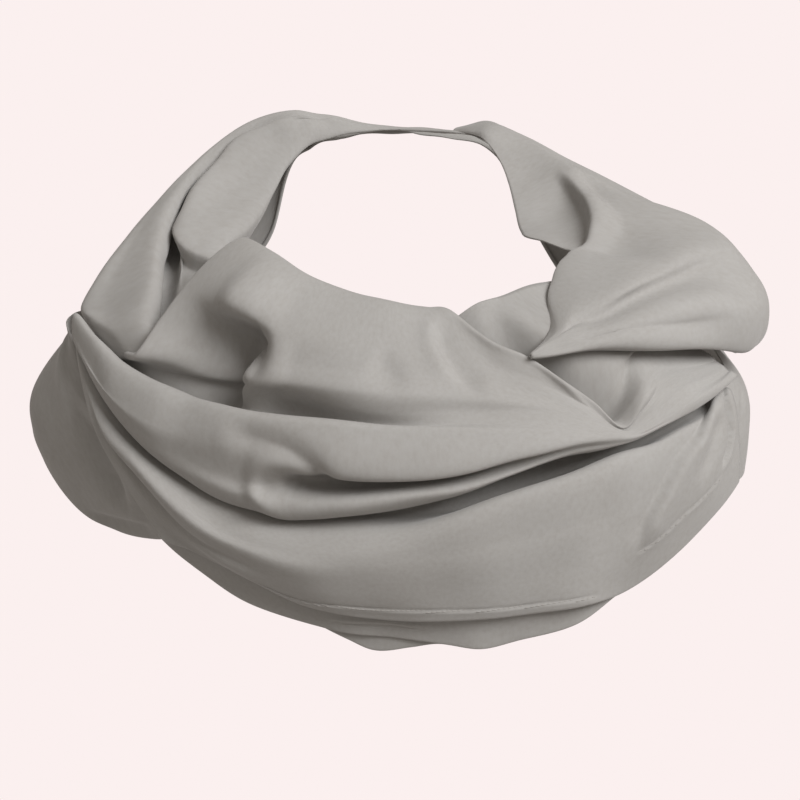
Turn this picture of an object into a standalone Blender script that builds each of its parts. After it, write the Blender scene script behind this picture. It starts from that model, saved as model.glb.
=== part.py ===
# Nursing scarf: a wide loop of cloth that hangs in two turns round an open neck hole.
# Every stretch of cloth that shows is a thin wall lofted through fold lines.
# A fold line runs round the neck hole, and each of its rows is one section:
#   turn  degrees round the hole, 0 at the front, minus to the left seen from the front, plus to the right
#   out   millimetres from the hole's centre line
#   up    millimetres above the level where the back of the hole is held
import bpy
import bmesh
import numpy as np

MM = 0.001
WALL = 1.2          # two layers of light cotton with their loft
SEAM_GAP = 0.45     # along the cloth, so that two slanted edges of one turn stay 0.3 apart
END_EASE = 3.0      # how fast a line that starts early or late falls in with the others

CLOTH = {
    "front_cowl": (0.40, 0.38, 0.35),
    "left_strap": (0.38, 0.36, 0.33),
    "nape_band": (0.37, 0.35, 0.32),
    "right_swag": (0.41, 0.39, 0.36),
    "front_panel": (0.36, 0.345, 0.315),
    "hem_layer": (0.33, 0.315, 0.29),
    "under_hem": (0.30, 0.285, 0.26),
    "left_lobe": (0.33, 0.315, 0.285),
    "back_drape": (0.35, 0.335, 0.305),
    "right_flap": (0.37, 0.355, 0.33),
}
CLOTH_ROUGHNESS = 0.85

# The upper turn in front: the cowl, the swag under it and the small roll at the swag's foot.
FRONT_COWL = {
    "folds": 32,
    "lines": {
        "inner hem": ((-55, 74, -34), (-30, 75, -44), (-5, 73, -58), (10, 76, -57), (18, 81, -50),
                      (26, 83, -43), (33, 84, -41), (48, 87, -38.5), (56, 94, -48), (68, 108, -54)),
        "inner valley": ((-55, 77, -27), (-30, 77, -37), (-5, 75, -49), (10, 79, -51), (18, 88, -55),
                         (24, 97, -65), (30, 109, -73), (36, 121, -81), (41, 128, -84), (50, 132, -64.5),
                         (68, 142, -67)),
        "rim": ((-55, 81, -21), (-42, 80, -24), (-32, 80, -30), (-22, 78, -35), (-4, 78, -41),
                (10, 80, -44), (17, 84, -46), (23, 103, -55), (30, 117, -63), (33, 127, -69),
                (38, 135, -77), (42, 138.5, -80), (51, 141.5, -70.5), (68, 151, -71.5)),
        "face": ((-55, 112, -37), (-42, 108, -42), (-30, 105, -48), (-15, 105, -53), (-4, 106, -56),
                 (12, 108, -59), (20, 113, -63), (30, 129, -70), (36, 139, -76), (42, 145.5, -80.7),
                 (51, 147.3, -75.3), (68, 155.2, -75)),
        "lip": ((-55, 139, -64), (-46, 133, -65), (-40, 128, -66), (-33, 122, -68), (-22, 121, -69),
                (-4, 122, -70), (17, 125, -73), (30, 137, -77.5), (40, 148, -82.3), (51, 151.8, -78.8),
                (68, 158.5, -77)),
        "pleat": ((-56, 131, -73), (-46, 122, -74), (-38, 116, -75), (-30, 114, -75.5), (-22, 118, -74.5),
                  (-4, 124, -75), (17, 128, -76), (30, 138.5, -79.5), (40, 148.6, -83.5), (51, 154, -80.3),
                  (68, 159.5, -77.8)),
        "trough": ((-56, 129, -85), (-52, 130, -85), (-46, 124.5, -86), (-38, 119, -84.5),
                   (-28, 118.5, -81.5), (-20, 124, -79.5), (-8, 128, -80), (4, 129.5, -80),
                   (17, 132, -80), (30, 141, -82.5), (40, 151, -85), (52, 156, -81.5), (68, 161, -78.8)),
        "crest": ((-70, 152, -55), (-65, 150, -60), (-59, 147, -65), (-52, 142, -68), (-42, 137, -72),
                  (-30, 136, -77), (-12, 133, -81), (10, 134, -84), (22, 140, -85), (33, 146, -86),
                  (43, 153, -86.5), (55, 160, -82), (68, 163, -79)),
        "belly": ((-69, 155, -62), (-56, 153, -76), (-42, 147, -88), (-30, 143, -93), (-20, 140, -94),
                  (0, 139, -92), (22, 144, -91), (33, 149, -90), (45, 155, -88), (68, 165, -79.8)),
        "pinch": ((-68, 155, -66), (-55, 153, -83), (-42, 148, -98), (-30, 142, -107), (-20, 133, -109),
                  (-12, 130, -108), (1, 131, -103), (12, 132, -101), (21, 136, -98), (31, 144, -93.5),
                  (45, 154, -90), (68, 165, -80.6)),
        "roll": ((-67, 154, -69), (-55, 153, -87), (-42, 148, -104), (-30, 144, -113), (-20, 139, -115),
                 (-8, 138, -113), (1, 139, -110), (12, 140, -107), (21, 141, -102), (31, 144, -96),
                 (45, 152, -91), (68, 164, -81.4)),
        "tuck": ((-66, 151, -72), (-59, 152, -84), (-48, 149, -100), (-40, 145, -110), (-33, 142, -118),
                 (-25, 139, -121), (-19, 136, -122), (-8, 134, -120), (1, 134, -117), (10, 135, -112),
                 (19, 136, -106), (31, 140, -98), (45, 148, -91.8), (56, 156, -86.5), (68, 162, -82)),
        "hidden edge": ((-65, 147, -70), (-58, 146, -80), (-48, 142, -94), (-33, 134, -109),
                        (-19, 128, -112), (1, 126, -108), (19, 128, -98), (38, 136, -89), (56, 149, -82),
                        (68, 156, -78)),
    },
}

# The upper turn from the left side round the back of the hole to the right side.
UPPER_TURN = {
    "folds": 20,
    "lines": {
        "inner hem": ((-50, 102, -58), (-60, 100, -56), (-76, 88, -45), (-86, 76, -39), (-97, 69, -33),
                      (-109, 64, -20), (-122, 64, -8), (-136, 61, 2), (-148, 61, 4), (-160, 61, 4.5),
                      (-180, 61, 2.8), (-218, 61, 3)),
        "neck edge": ((-50, 100, -50), (-60, 95, -46), (-76, 81, -33), (-86, 70, -28), (-97, 63, -21),
                      (-109, 60, -13), (-121, 60, -4), (-134, 58, 3), (-146, 58, 4.6), (-158, 58.5, 5.5),
                      (-180, 59, 3.2), (-218, 59.3, 3.4)),
        "band crown": ((-50, 106, -52), (-60, 104, -46), (-76, 94, -31), (-86, 88, -22), (-97, 82, -14),
                       (-109, 75, -6), (-123, 70, 5), (-136, 60, 12), (-148, 59.5, 9.5), (-160, 59.5, 8),
                       (-180, 60, 5), (-218, 60, 5.3)),
        "band fold": ((-50, 116, -58), (-60, 112, -51), (-67, 109, -44), (-75, 107, -36),
                      (-82, 103, -28), (-90, 98, -19), (-101, 92, -8), (-109, 88, -1), (-117, 84, 6),
                      (-123, 76, 11), (-136, 64, 17), (-148, 62, 13.5), (-160, 61.5, 10),
                      (-180, 61.8, 6.6), (-218, 61.8, 7)),
        "fold valley": ((-51, 119, -62), (-60, 118, -57), (-67, 113, -51), (-75, 108, -45),
                        (-82, 102.5, -38), (-90, 96.5, -29), (-100, 90.5, -18), (-112, 87.5, -3),
                        (-123, 79, 8), (-136, 67, 15.8), (-148, 64.5, 12.3), (-160, 63.6, 8.8),
                        (-180, 63.8, 5.6), (-218, 63.8, 6.1)),
        "outer fold": ((-54, 128, -61), (-60, 130, -55), (-66, 122, -44), (-71, 117, -38),
                       (-77, 113, -32), (-87, 106, -21), (-100, 98, -10), (-112, 93, 1), (-123, 82, 12),
                       (-136, 69.8, 17.5), (-148, 67.2, 14), (-160, 66, 10.3), (-180, 66, 7),
                       (-218, 66, 7.4)),
        "outer crown": ((-58, 136.5, -64), (-63, 139, -60), (-69, 140, -53), (-74, 135, -44),
                        (-80, 125, -33), (-87, 115, -22), (-100, 102.5, -8.5), (-112, 95.5, 1.5),
                        (-123, 84.5, 12), (-136, 72.3, 16.5), (-148, 69.7, 13), (-160, 68.5, 9.3),
                        (-180, 68.4, 6.4), (-218, 68.2, 6.6)),
        "outline": ((-61, 138.5, -65.5), (-65, 141.5, -62), (-69, 146, -57), (-73, 148, -53), (-77, 140, -43),
                    (-85, 124, -28), (-93, 113, -18), (-102, 104, -8), (-113, 97.5, -0.5), (-123, 87, 9),
                    (-136, 74.3, 13), (-148, 71.8, 9.8), (-160, 70.6, 6.6), (-180, 70.4, 4.6),
                    (-218, 70.2, 4.8)),
        "outer face": ((-65, 140.5, -64.5), (-69, 145, -62.5), (-75, 146, -60), (-85, 129, -42),
                       (-100, 109, -22), (-113, 99.5, -8), (-136, 76.5, 6), (-148, 73.4, 4), (-160, 72, 3),
                       (-180, 71.8, 2.2), (-218, 71.5, 2.6)),
        "outer hem": ((-69, 140.5, -64), (-73, 142.5, -66.5), (-78, 140, -68), (-87, 127, -54),
                      (-100, 110, -36), (-113, 100, -20), (-136, 76.5, -2), (-148, 73.5, -1.2),
                      (-160, 72, -0.4), (-180, 71.8, -0.2), (-218, 71.5, 0.4)),
    },
}

# The upper turn on the right: a full swag with a roll along its foot.
RIGHT_SWAG = {
    "folds": 20,
    "lines": {
        "neck edge": ((31, 112.5, -57), (37, 110, -55), (43, 101.8, -47.1), (51, 94.2, -40.3),
                      (65, 90, -35.5), (73, 83, -33), (79, 70, -31), (84, 62, -31), (92, 58, -29),
                      (102, 57, -21), (112, 57.5, -12), (121, 58, -3), (132, 57, 4.5), (146, 56, 4)),
        "hollow": ((31, 113, -54.5), (37, 111, -52), (43, 99, -44.5), (51, 91.5, -38.5),
                   (65, 87, -34.5), (75, 81, -31),
                   (84, 74, -29), (92, 72, -24), (102, 70, -16), (112, 68, -8), (134, 59, 7.5),
                   (146, 56.5, 8.5)),
        "hook fold": ((31, 115, -52.5), (37, 115, -50), (43, 99, -42), (51, 91, -36), (65, 86, -30),
                      (75, 87, -27), (83, 88, -23), (91, 87, -16), (99, 85, -10), (112, 79, -2),
                      (127, 69, 7), (136, 63, 10), (146, 59.5, 11.5)),
        "face": ((31, 117, -51.4), (37, 119, -49), (43, 110, -42), (51, 108, -36), (60, 109, -32),
                 (75, 112, -25), (91, 102, -13), (104, 91, -6), (120, 79, 3), (134, 68, 10.5),
                 (146, 63.5, 12.3)),
        "crown": ((31, 119.5, -51.6), (37, 121, -48.6), (45, 121, -42), (54, 126, -36), (62, 130, -33),
                  (71, 139, -29), (82, 149, -27), (88, 140, -22), (95, 120, -17), (104, 101, -9),
                  (118, 85, 0.5), (132, 75, 7), (140, 70.5, 11.5), (146, 68, 11.3)),
        "crease": ((31, 121.8, -53.4), (37, 123.5, -50.4), (45, 126, -46), (54, 129, -40), (62, 135, -38),
                   (71, 146, -37), (80, 160, -37), (90, 152, -32), (100, 130, -24), (118, 98, -8),
                   (132, 82.5, 1.5), (140, 76, 7), (146, 73.5, 7.5)),
        "roll": ((31, 122.8, -56.4), (35, 125.5, -54.5), (42, 133, -50), (49, 141, -48), (58, 153, -48),
                 (69, 165, -51), (76, 171, -56), (84, 171, -58), (95, 157, -50), (110, 128, -34),
                 (125, 102, -14), (136, 86.5, 1), (146, 77.5, 5)),
        "tuck": ((31, 121.4, -59.2), (42, 133, -57), (56, 150, -61), (66, 161, -67), (72, 166, -72),
                 (78, 168.5, -77), (84, 168.5, -81), (95, 160, -74), (110, 133, -50), (125, 105, -26),
                 (134, 91.5, -10), (140, 83, -2), (146, 78.2, 1.5)),
        "hidden hem": ((31, 118, -60.4), (42, 127, -59), (56, 144, -62), (70, 160, -71.5),
                       (78, 163.5, -85), (84, 161.5, -92.5), (95, 155, -86), (110, 132, -60),
                       (125, 104, -34), (134, 90, -15),
                       (140, 83, -6), (146, 77.2, -1.5)),
    },
}

# The lower turn in front: one wide smooth panel that ends in a stitched hem.
FRONT_PANEL = {
    "folds": 13,
    "lines": {
        "hidden top": ((-71, 147, -67), (-64, 144, -78), (-55, 138, -90), (-40, 128, -102),
                       (-25, 121, -110),
                       (-8, 117, -108), (7, 117, -103), (25, 121, -94), (45, 134, -84), (67, 149, -79)),
        "neck": ((-71, 150, -66), (-64, 150, -77.5), (-56, 147, -92), (-40, 139, -113), (-25, 132, -122),
                 (-8, 126, -122), (7, 125, -119), (25, 128, -110), (45, 141, -98), (67, 157, -85)),
        "crest": ((-70, 153.5, -68), (-63, 156, -81), (-56, 156, -96), (-48, 153, -106), (-40, 150, -117),
                  (-33, 147, -126), (-25, 144, -129), (-8, 140, -128), (7, 140, -121), (19, 141.5, -111.5),
                  (31, 146, -104.5), (45, 153.5, -97), (56, 160, -93), (67, 163, -88)),
        "middle": ((-58, 157, -98), (-47, 154, -114), (-40, 152, -126), (-25, 149, -137),
                   (-8, 146, -139), (7, 145, -136), (25, 149, -130), (45, 160, -121), (56, 166, -111),
                   (67, 167, -101)),
        "low": ((-50, 155, -118), (-40, 151, -133), (-25, 148, -146), (-8, 144, -152), (7, 143, -152),
                (25, 149, -149), (45, 159, -141), (56, 166, -129), (67, 168.5, -115)),
        "hem": ((-42, 151, -140), (-39, 149, -141), (-32, 146, -146), (-25, 144, -152), (-18, 141, -160),
                (-11, 140, -163), (-2, 139, -166), (9, 141, -166), (22, 146, -165), (33, 153, -163),
                (43, 154, -161), (52, 161, -149), (60, 166, -137), (67, 169, -129)),
    },
}

# The cloth that shows below the panel's hem.
HEM_LAYER = {
    "folds": 5,
    "lines": {
        "hidden top": ((-46, 147, -124), (-30, 142, -134), (-10, 136, -144), (10, 137, -144),
                       (28, 144, -142), (40, 150, -138)),
        "middle": ((-46, 147, -134), (-30, 140, -152), (-10, 135, -162), (10, 136, -163),
                   (28, 145, -159), (40, 150, -152)),
        "edge": ((-46, 145, -142), (-37, 141, -155), (-29, 138, -164), (-20, 135, -170),
                 (-12, 133.5, -174), (1, 133, -177), (10, 135, -180), (16, 138, -182), (23, 141, -179),
                 (33, 148, -173), (40, 152, -163)),
    },
}

UNDER_HEM = {
    "folds": 2,
    "lines": {
        "hidden top": ((-15, 131.6, -166), (0, 130.7, -168), (15, 134, -170)),
        "edge": ((-14, 131, -174), (-9, 131, -179), (-5, 131, -183), (3, 131, -182), (8, 132, -180.5),
                 (13, 133, -182)),
    },
}

# The lower turn from the left front up to the back of the hole and down to the right front.
LOWER_TURN = {
    "folds": 11,
    "lines": {
        "top": ((-71, 150, -74), (-75, 154.5, -63.5), (-79, 150.5, -61), (-85, 136, -62), (-95, 122, -50),
                (-110, 107, -34), (-125, 93, -18), (-141, 81, -4), (-150, 77, -1), (-160, 74.8, 0.4),
                (-180, 73.3, 1), (-200, 77, -1), (-212, 81, -4), (-219, 84.5, -11.5), (-226, 90, -24),
                (-235, 97, -32),
                (-250, 116, -50),
                (-265, 137, -73), (-280, 151, -89), (-286, 155, -91.5), (-292, 153, -95)),
        "shoulder": ((-64, 149.5, -87), (-75, 157.5, -77), (-84, 152, -75), (-95, 140, -64),
                     (-110, 124, -48), (-125, 102, -28), (-141, 85, -6), (-150, 79.5, 0.2), (-160, 78, 1.6),
                     (-180, 77.3, 1.8), (-200, 79, 0.2), (-212, 82.8, -3.2), (-219, 87, -12),
                     (-226, 93, -26), (-235, 100, -42), (-250, 126, -64),
                     (-265, 149.5, -87), (-276, 157.5, -96.5), (-285, 161.5, -97), (-293, 157.5, -101)),
        "crown": ((-54, 147, -107), (-70, 162, -98), (-82, 170, -100), (-95, 157, -86),
                  (-110, 138, -68), (-125, 110, -42), (-133, 98, -27), (-141, 87.3, -9.5),
                  (-150, 82.3, -2), (-160, 80.7, 0.8), (-180, 79.6, 1.2), (-200, 81.4, -0.2),
                  (-212, 84.8, -3.4), (-219, 89, -13), (-226, 95.5, -31), (-235, 106, -54),
                  (-250, 136, -80), (-265, 159, -96),
                  (-276, 166, -104), (-286, 166.5, -105), (-294, 160, -110)),
        "low": ((-47, 142, -127), (-65, 158, -126), (-80, 171, -117), (-95, 162, -112),
                (-110, 142, -92), (-125, 112, -58), (-133, 100, -44), (-138, 92, -30), (-142, 87.5, -14),
                (-150, 83.5, -5), (-160, 82, -1.4), (-180, 81.4, -0.6), (-200, 83.4, -1.8), (-212, 86.2, -5),
                (-219, 90, -16), (-226, 96.5, -38), (-235, 110, -66), (-250, 140, -96), (-265, 160, -112),
                (-276, 165, -118), (-287, 167, -122), (-294, 160.5, -121)),
        "hem": ((-44, 137, -143), (-52, 139, -149), (-60, 146, -151), (-67, 155, -147), (-72, 161, -139),
                (-76, 166, -130), (-81, 168, -125), (-95, 156, -130), (-110, 136, -110),
                (-125, 108, -72), (-133, 96, -60), (-137.5, 89, -44), (-141, 86, -21), (-150, 82, -7.4),
                (-160, 82, -4), (-180, 82, -2.8), (-200, 84, -4), (-212, 86.5, -7),
                (-219, 89.5, -19.5), (-226, 96, -46), (-235, 108, -76), (-250, 135, -110), (-265, 155, -128),
                (-289, 165, -133), (-294, 162, -130)),
    },
}


# Each node is a stretch of a sheet, from one share of its length to another, in so many stations.
STRETCHES = {
    "front_cowl": {"sheet": FRONT_COWL, "from": 0.0, "to": 1.0, "stations": 38},
    "left_strap": {"sheet": UPPER_TURN, "from": 0.0, "to": 0.52, "stations": 24},
    "nape_band": {"sheet": UPPER_TURN, "from": 0.52, "to": 1.0, "stations": 12},
    "right_swag": {"sheet": RIGHT_SWAG, "from": 0.0, "to": 1.0, "stations": 28},
    "front_panel": {"sheet": FRONT_PANEL, "from": 0.0, "to": 1.0, "stations": 30},
    "hem_layer": {"sheet": HEM_LAYER, "from": 0.0, "to": 1.0, "stations": 24},
    "under_hem": {"sheet": UNDER_HEM, "from": 0.0, "to": 1.0, "stations": 8},
    "left_lobe": {"sheet": LOWER_TURN, "from": 0.0, "to": 0.30, "stations": 20},
    "back_drape": {"sheet": LOWER_TURN, "from": 0.30, "to": 0.78, "stations": 22},
    "right_flap": {"sheet": LOWER_TURN, "from": 0.78, "to": 1.0, "stations": 10},
}


def smooth(knots, values, at):
    # Cubic through the rows, each row's slope taken from its neighbours.
    slopes = np.gradient(values, knots, axis=0)
    spans = np.clip(np.searchsorted(knots, at, side="right") - 1, 0, len(knots) - 2)
    width = (knots[spans + 1] - knots[spans])[:, None]
    t = (at - knots[spans])[:, None] / width
    start = (2 * t**3 - 3 * t**2 + 1) * values[spans] + (t**3 - 2 * t**2 + t) * width * slopes[spans]
    end = (3 * t**2 - 2 * t**3) * values[spans + 1] + (t**3 - t**2) * width * slopes[spans + 1]
    return start + end


def fold_line(rows, first, last, shares):
    # One fold line's points at the given shares of its sheet's length.
    table = np.array(rows, dtype=float)
    turns = first + (last - first) * shares
    turns = turns + (table[0, 0] - first) * (1 - shares)**END_EASE
    turns = turns + (table[-1, 0] - last) * shares**END_EASE
    heading = 1.0 if last > first else -1.0
    reach = smooth(table[:, 0] * heading, table[:, 1:], turns * heading)
    angle = np.radians(turns)
    return np.stack([reach[:, 0] * np.sin(angle), -reach[:, 0] * np.cos(angle), reach[:, 1]], axis=1)


def sheet_points(sheet, shares, across):
    # The sheet's grid of points: one row of folds for each share of its length.
    lines = list(sheet["lines"].values())
    first = sum(rows[0][0] for rows in lines) / len(lines)
    last = sum(rows[-1][0] for rows in lines) / len(lines)
    folds = np.stack([fold_line(rows, first, last, shares) for rows in lines])
    steps = np.linalg.norm(np.diff(folds, axis=0), axis=2).mean(axis=1)
    knots = np.concatenate([[0.0], np.cumsum(steps)])
    grid = smooth(knots / knots[-1], folds.reshape(len(lines), -1), across)
    return grid.reshape(len(across), len(shares), 3).transpose(1, 0, 2)


def cloth_material(name):
    material = bpy.data.materials.new(name + "_cloth")
    material.use_nodes = True
    shader = material.node_tree.nodes["Principled BSDF"]
    shader.inputs["Base Color"].default_value = (*CLOTH[name], 1.0)
    shader.inputs["Roughness"].default_value = CLOTH_ROUGHNESS
    shader.inputs["Metallic"].default_value = 0.0
    return material


def cloth_wall(name, points):
    # A closed wall of cloth, half its thickness on each side of a grid of points.
    stations, folds = points.shape[:2]
    bm = bmesh.new()
    bmesh.ops.create_grid(bm, x_segments=stations - 1, y_segments=folds - 1, size=1.0)
    for vertex in bm.verts:
        station = round((vertex.co.x + 1) / 2 * (stations - 1))
        fold = round((vertex.co.y + 1) / 2 * (folds - 1))
        vertex.co = points[station, fold] * MM
    mesh = bpy.data.meshes.new(name)
    bm.to_mesh(mesh)
    bm.free()
    mesh.shade_smooth()
    mesh.materials.append(cloth_material(name))
    piece = bpy.data.objects.new(name, mesh)
    bpy.context.collection.objects.link(piece)
    wall = piece.modifiers.new("Wall", "SOLIDIFY")
    wall.thickness = WALL * MM
    wall.offset = 0.0


def build_stretch(name, stretch):
    sheet = stretch["sheet"]
    across = np.linspace(0, 1, sheet["folds"] + 1)
    edge = sheet_points(sheet, np.linspace(0, 1, 3 * stretch["stations"]), np.array([0.5]))[:, 0]
    half_gap = SEAM_GAP / 2 / np.linalg.norm(np.diff(edge, axis=0), axis=1).sum()
    start = stretch["from"] + (half_gap if stretch["from"] > 0 else 0)
    end = stretch["to"] - (half_gap if stretch["to"] < 1 else 0)
    shares = np.linspace(start, end, stretch["stations"] + 1)
    cloth_wall(name, sheet_points(sheet, shares, across))


def clear_scene():
    for thing in list(bpy.data.objects):
        bpy.data.objects.remove(thing, do_unlink=True)


def main():
    clear_scene()
    for name, stretch in STRETCHES.items():
        build_stretch(name, stretch)


main()
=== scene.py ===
import math
import bpy
import bmesh
import numpy as np
from mathutils import Matrix, Vector


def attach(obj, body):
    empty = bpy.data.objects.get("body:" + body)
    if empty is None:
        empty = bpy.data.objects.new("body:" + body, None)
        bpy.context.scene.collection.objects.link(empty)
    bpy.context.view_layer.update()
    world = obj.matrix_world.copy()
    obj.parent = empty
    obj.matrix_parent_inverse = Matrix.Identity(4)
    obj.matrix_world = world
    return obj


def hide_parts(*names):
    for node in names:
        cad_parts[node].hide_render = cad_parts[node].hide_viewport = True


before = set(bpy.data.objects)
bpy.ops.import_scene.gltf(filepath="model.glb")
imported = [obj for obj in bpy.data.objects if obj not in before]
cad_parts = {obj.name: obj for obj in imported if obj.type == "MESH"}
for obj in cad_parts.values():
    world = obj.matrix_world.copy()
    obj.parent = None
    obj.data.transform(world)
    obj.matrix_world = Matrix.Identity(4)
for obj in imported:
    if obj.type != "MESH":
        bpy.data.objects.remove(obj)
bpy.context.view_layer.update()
mm = 0.001

# Every stretch of cloth is a grid of points lofted through fold lines that run round the neck hole.
# A row of a fold line is turn (degrees, 0 in front, minus to the left), out and up (millimetres).
# Creases lie on that grid. A path is in shares of the sheet: along it, then across it from the inner edge.
# left and right are the two sides of the path as it runs: (rise in mm, width in mm).
# A rise is outward and a minus a trough. fade is the length in mm over which each end dies out,
# and jump half the width in mm in which one side's height passes into the other's.
sheetForm = {
    "jump": 0.8,             # mm, where a crease gives none of its own
    "pathSteps": 6,          # points of a crease's curve for each point of its path
    "liftPasses": 50,        # how far the way that folds rise is evened out
    "turnSteps": 7,          # steps round a turned edge
    "turnPitch": 2.0,        # mm between the rows of the cloth turned under
    "bend": 0.9,             # how much each wave of the swell bends, in radians
    "bendLength": 1.7,       # the length of that bend, in wave lengths
    "bendPhase": 2.1, "wavePhase": 1.3,
}
print("frame loaded")


def smooth(knots, values, at):
    # the smooth curve through the values at the knots, read at other places
    slopes = np.gradient(values, knots, axis=0)
    spans = np.clip(np.searchsorted(knots, at, side="right") - 1, 0, len(knots) - 2)
    width = (knots[spans + 1] - knots[spans])[:, None]
    t = (at - knots[spans])[:, None] / width
    start = (2 * t**3 - 3 * t**2 + 1) * values[spans] + (t**3 - 2 * t**2 + t) * width * slopes[spans]
    end = (3 * t**2 - 2 * t**3) * values[spans + 1] + (t**3 - t**2) * width * slopes[spans + 1]
    return start + end


def ease(x):
    x = np.clip(x, 0, 1)
    return x * x * (3 - 2 * x)


def foldLine(rows, first, last, shares):
    # one fold line's points: its own ends are met, and its middle keeps step with the other lines
    table = np.array(rows, dtype=float)
    turns = first + (last - first) * shares
    turns = turns + (table[0, 0] - first) * (1 - shares)**3 + (table[-1, 0] - last) * shares**3
    heading = 1.0 if last > first else -1.0
    reach = smooth(table[:, 0] * heading, table[:, 1:], turns * heading)
    angle = np.radians(turns)
    return np.stack([reach[:, 0] * np.sin(angle), -reach[:, 0] * np.cos(angle), reach[:, 1]], axis=1)


def loftPoints(lines, shares, across):
    # the grid through all the fold lines, from the inner edge to the outer one
    rows = list(lines.values())
    first = sum(row[0][0] for row in rows) / len(rows)
    last = sum(row[-1][0] for row in rows) / len(rows)
    folds = np.stack([foldLine(row, first, last, shares) for row in rows])
    steps = np.linalg.norm(np.diff(folds, axis=0), axis=2).mean(axis=1)
    knots = np.concatenate([[0.0], np.cumsum(steps)])
    grid = smooth(knots / knots[-1], folds.reshape(len(rows), -1), across)
    return grid.reshape(len(across), len(shares), 3).transpose(1, 0, 2)


def unit(vectors):
    return vectors / np.maximum(np.linalg.norm(vectors, axis=-1, keepdims=True), 1e-9)


def meanLength(points, axis):
    return np.linalg.norm(np.diff(points, axis=axis), axis=2).sum(axis=axis).mean()


def pathPoints(path, size):
    # the crease's own smooth curve in mm on the flattened sheet
    knots = np.array(path, dtype=float) * size
    if len(knots) == 2:
        return knots
    steps = np.concatenate([[0.0], np.cumsum(np.linalg.norm(np.diff(knots, axis=0), axis=1))])
    return smooth(steps, knots, np.linspace(0, steps[-1], sheetForm["pathSteps"] * len(knots)))


def creaseField(flat, size, crease, outward):
    # the height that one crease gives each point
    curve = pathPoints(crease["path"], size)
    starts = curve[:-1]
    spans = np.diff(curve, axis=0)
    lengths = np.linalg.norm(spans, axis=1)
    runs = np.concatenate([[0.0], np.cumsum(lengths)])
    best = np.full(flat.shape[:2], 1e9)
    side = np.zeros(flat.shape[:2])
    run = np.zeros(flat.shape[:2])
    for k in range(len(spans)):
        away = flat - starts[k]
        t = np.clip((away @ spans[k]) / lengths[k]**2, 0, 1)
        gap = away - t[..., None] * spans[k]
        distance = np.linalg.norm(gap, axis=2)
        nearer = distance < best
        best = np.where(nearer, distance, best)
        turn = spans[k][0] * away[..., 1] - spans[k][1] * away[..., 0]
        side = np.where(nearer, np.sign(turn), side)
        run = np.where(nearer, runs[k] + t * lengths[k], run)
    signed = best * side * -outward
    fadeIn, fadeOut = crease["fade"]
    taper = ease(run / fadeIn) * ease((runs[-1] - run) / fadeOut)
    (riseLeft, wideLeft), (riseRight, wideRight) = crease["left"], crease["right"]
    jump = crease.get("jump", sheetForm["jump"])
    over = ease((signed + jump) / (2 * jump))
    left = riseLeft * np.exp(-(signed / wideLeft)**2)
    right = riseRight * np.exp(-(signed / wideRight)**2)
    return (right * (1 - over) + left * over) * taper


def ripple(flat, waves):
    # slow uneven swell of the cloth from a few crossing waves
    height = np.zeros(flat.shape[:2])
    for number, (length, heading, rise) in enumerate(waves):
        angle = math.radians(heading)
        phase = flat[..., 0] * math.cos(angle) + flat[..., 1] * math.sin(angle)
        bendStart = sheetForm["bendPhase"] * number
        bend = sheetForm["bend"] * np.sin(flat[..., 0] / (length * sheetForm["bendLength"]) + bendStart)
        height += rise * np.sin(2 * math.pi * phase / length + bend + sheetForm["wavePhase"] * number)
    return height


def softened(field, passes):
    # each pass takes every point a little towards its neighbours in the grid
    for count in range(passes):
        for axis in (0, 1):
            last = field.shape[axis] - 1
            before = np.concatenate([field.take([0], axis), field.take(range(last), axis)], axis)
            after = np.concatenate([field.take(range(1, last + 1), axis), field.take([-1], axis)], axis)
            field = (before + field * 2 + after) / 4
    return field


def sheetPoints(sheet):
    # the sheet's grid with its folds, its directions outward, its flat places in mm and its flat size
    shares = np.linspace(0, 1, sheet["along"] + 1)
    across = np.linspace(0, 1, sheet["across"] + 1)
    points = loftPoints(sheet["lines"], shares, across)
    size = np.array([meanLength(points, 0), meanLength(points, 1)])
    flat = np.stack(np.meshgrid(shares, across, indexing="ij"), axis=2) * size
    alongWay = unit(np.gradient(points, axis=0))
    acrossWay = unit(np.gradient(points, axis=1))
    normal = unit(np.cross(acrossWay, alongWay)) * sheet["outward"]
    height = ripple(flat, sheet["waves"])
    for crease in sheet["creases"]:
        height += creaseField(flat, size, crease, sheet["outward"])
    lift = unit(softened(normal, sheetForm["liftPasses"]))
    return points + lift * height[..., None], normal, flat, size


def turnUnder(points, normal, flat, side, radius, depth):
    # folds one edge of the grid back under itself, as a fold or a hem is
    axis = 0 if side == "start" else 1
    last = side == "outer"
    steps = sheetForm["turnSteps"]
    edge = np.take(points, -1 if last else 0, axis=axis)
    away = unit(edge - np.take(points, -3 if last else 2, axis=axis))
    inward = -np.take(normal, -1 if last else 0, axis=axis)
    flatEdge = np.take(flat, -1 if last else 0, axis=axis)
    flatStep = flatEdge - np.take(flat, -2 if last else 1, axis=axis)
    flatStep = flatStep / np.linalg.norm(flatStep, axis=1, keepdims=True)
    rows, flats = [], []
    for k in range(1, steps + 1):
        angle = math.pi * k / steps
        rows.append(edge + away * radius * math.sin(angle) + inward * radius * (1 - math.cos(angle)))
        flats.append(flatEdge + flatStep * radius * angle)
    runs = max(2, int(depth / sheetForm["turnPitch"]))
    for k in range(1, runs + 1):
        back = depth * k / runs
        rows.append(edge - away * back + inward * radius * 2)
        flats.append(flatEdge + flatStep * (radius * math.pi + back))
    if not last:
        rows.reverse()
        flats.reverse()
    extra = np.stack(rows, axis=axis)
    extraFlat = np.stack(flats, axis=axis)
    extraNormal = np.repeat(np.take(normal, [-1 if last else 0], axis=axis), len(rows), axis=axis)
    join = ((points, extra), (normal, extraNormal), (flat, extraFlat))
    return [np.concatenate(pair if last else pair[::-1], axis=axis) for pair in join]


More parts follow.
